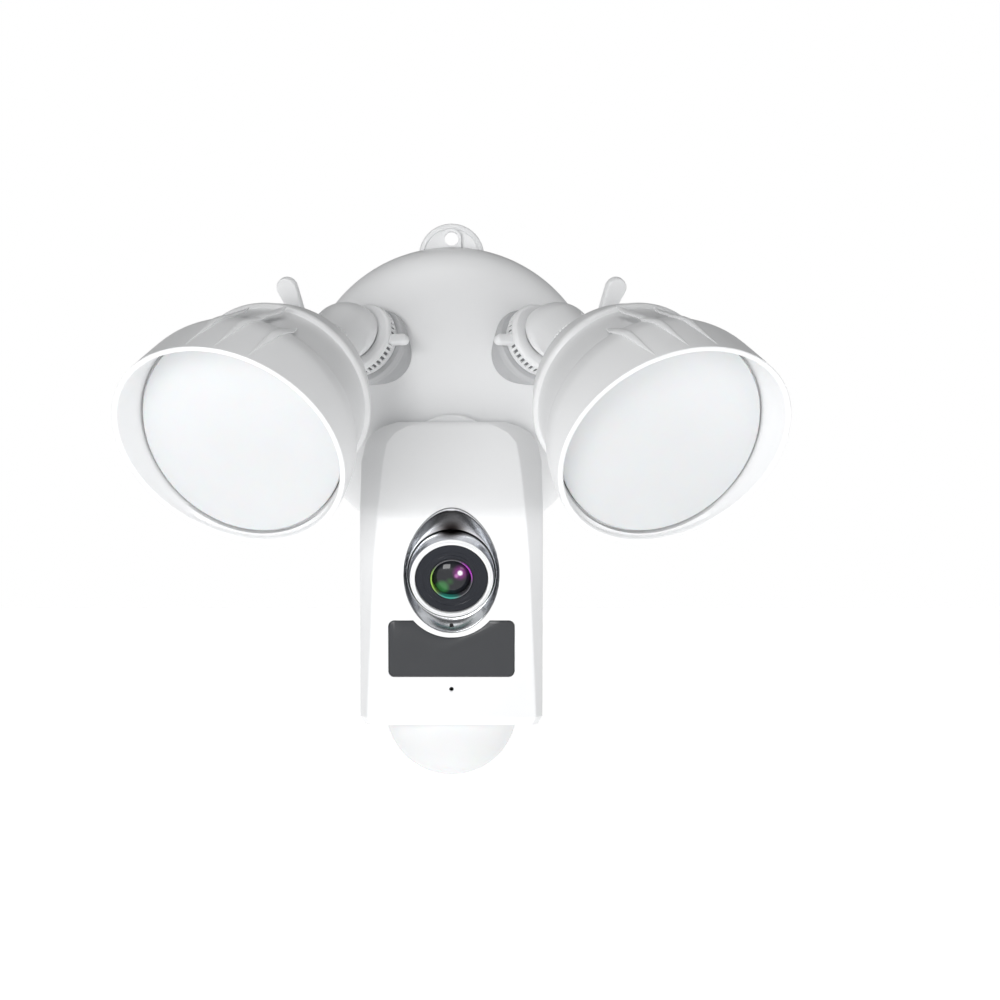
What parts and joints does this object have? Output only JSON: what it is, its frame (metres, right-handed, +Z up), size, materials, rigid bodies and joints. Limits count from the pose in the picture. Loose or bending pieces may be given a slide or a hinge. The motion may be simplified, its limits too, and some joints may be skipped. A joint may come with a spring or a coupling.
{
  "type": "floodlight security camera",
  "caption": "Wall-mounted outdoor camera with adjustable flood lamp heads on elbow arms, a round canopy, a tilting camera eye and a motion-sensor dome below.",
  "frame": {"origin": "centre of the round canopy on the wall plane", "axes": "+Z up, +X to the viewer's right facing the product, +Y into the wall; the front faces -Y"},
  "size_m": [0.3154, 0.2278, 0.2813],
  "materials": {
    "white_plastic": "fine satin",
    "white_metal": "white powder coat",
    "grey_plastic": "matt",
    "black_rubber": "matt",
    "silver_trim": "satin metallised plastic",
    "steel": "brushed",
    "gloss_black": "gloss",
    "coated_glass": "coated lens",
    "frosted_lens": "frosted diffuser",
    "milky_dome": "milky translucent",
    "circuit_board": "solder mask"
  },
  "bodies": {
    "base": {"canopy_shell": "white_plastic", "wall_gasket": "black_rubber", "mounting_bracket": "steel", "bracket_screw_1": "steel", "bracket_screw_2": "steel", "led_driver": "grey_plastic", "terminal_block": "grey_plastic", "wire_grommet": "black_rubber", "socket_l": "grey_plastic", "socket_r": "grey_plastic", "housing_front": "white_plastic", "housing_rear": "white_plastic", "eye_bezel": "silver_trim", "ir_window": "gloss_black", "ir_led_board": "circuit_board", "main_board": "circuit_board", "speaker": "grey_plastic", "antenna": "steel", "microphone": "steel", "pir_dome": "milky_dome", "pir_board": "circuit_board", "pir_sensor": "steel", "port_cover": "grey_plastic", "eye_pivot_l": "steel", "eye_pivot_r": "steel"},
    "button": {"reset_button": "grey_plastic"},
    "eye": {"eye_shell": "white_plastic", "eye_face": "gloss_black", "lens_barrel": "gloss_black", "lens_glass": "coated_glass", "sensor_board": "circuit_board"},
    "base_nut_l": {"arm_nut_l": "white_plastic"},
    "base_nut_r": {"arm_nut_r": "white_plastic"},
    "arm_l": {"elbow_arm_l": "white_plastic"},
    "arm_r": {"elbow_arm_r": "white_plastic"},
    "head_nut_l": {"lamp_nut_l": "white_plastic"},
    "head_nut_r": {"lamp_nut_r": "white_plastic"},
    "seat_l": {"ball_seat_l": "grey_plastic"},
    "seat_r": {"ball_seat_r": "grey_plastic"},
    "lamp_l": {"ball_stud_l": "steel", "lamp_housing_l": "white_metal", "lamp_hood_l": "white_plastic", "lens_gasket_l": "black_rubber", "lamp_lens_l": "frosted_lens", "reflector_l": "silver_trim", "led_board_l": "white_plastic"},
    "lamp_r": {"ball_stud_r": "steel", "lamp_housing_r": "white_metal", "lamp_hood_r": "white_plastic", "lens_gasket_r": "black_rubber", "lamp_lens_r": "frosted_lens", "reflector_r": "silver_trim", "led_board_r": "white_plastic"}
  },
  "joints": [
    {"name": "eye_tilt", "type": "hinge", "parent": "base", "child": "eye", "pos_m": [0, -0.092, -0.0895], "axis": [1, 0, 0], "range_deg": [-15, 20]},
    {"name": "reset_press", "type": "slide", "parent": "base", "child": "button", "axis": [0, -1, 0], "range_m": [0, 0.0008], "stiffness_N_per_m": 400},
    {"name": "arm_r_swivel", "type": "hinge", "parent": "base", "child": "arm_r", "pos_m": [0.04014, -0.04908, 0.02321], "axis": [0.5547, -0.7431, 0.3742], "range_deg": [-8, 75]},
    {"name": "arm_l_swivel", "type": "hinge", "parent": "base", "child": "arm_l", "pos_m": [-0.04014, -0.04908, 0.02321], "axis": [0.5547, 0.7431, -0.3742], "range_deg": [-8, 75]},
    {"name": "base_nut_r_turn", "type": "hinge", "parent": "base", "child": "base_nut_r", "pos_m": [0.0468, -0.058, 0.0277], "axis": [0.5547, -0.7431, 0.3742], "range_deg": [-20, 20]},
    {"name": "base_nut_l_turn", "type": "hinge", "parent": "base", "child": "base_nut_l", "pos_m": [-0.0468, -0.058, 0.0277], "axis": [0.5547, 0.7431, -0.3742], "range_deg": [-20, 20]},
    {"name": "head_nut_r_turn", "type": "hinge", "parent": "arm_r", "child": "head_nut_r", "pos_m": [0.06462, -0.09395, 0.01776], "axis": [0.3483, -0.8327, -0.4305], "range_deg": [-20, 20]},
    {"name": "head_nut_l_turn", "type": "hinge", "parent": "arm_l", "child": "head_nut_l", "pos_m": [-0.06462, -0.09395, 0.01776], "axis": [0.3483, 0.8327, 0.4305], "range_deg": [-20, 20]},
    {"name": "lamp_r_roll", "type": "hinge", "parent": "arm_r", "child": "seat_r", "pos_m": [0.06462, -0.09395, 0.01776], "axis": [0.3483, -0.8327, -0.4305], "range_deg": [-90, 90]},
    {"name": "lamp_l_roll", "type": "hinge", "parent": "arm_l", "child": "seat_l", "pos_m": [-0.06462, -0.09395, 0.01776], "axis": [0.3483, 0.8327, 0.4305], "range_deg": [-90, 90]},
    {"name": "lamp_r_tilt", "type": "hinge", "parent": "seat_r", "child": "lamp_r", "pos_m": [0.06462, -0.09395, 0.01776], "axis": [-0.9225, -0.3859, 0], "range_deg": [-12, 12]},
    {"name": "lamp_l_tilt", "type": "hinge", "parent": "seat_l", "child": "lamp_l", "pos_m": [-0.06462, -0.09395, 0.01776], "axis": [-0.9225, 0.3859, 0], "range_deg": [-12, 12]}
  ]
}
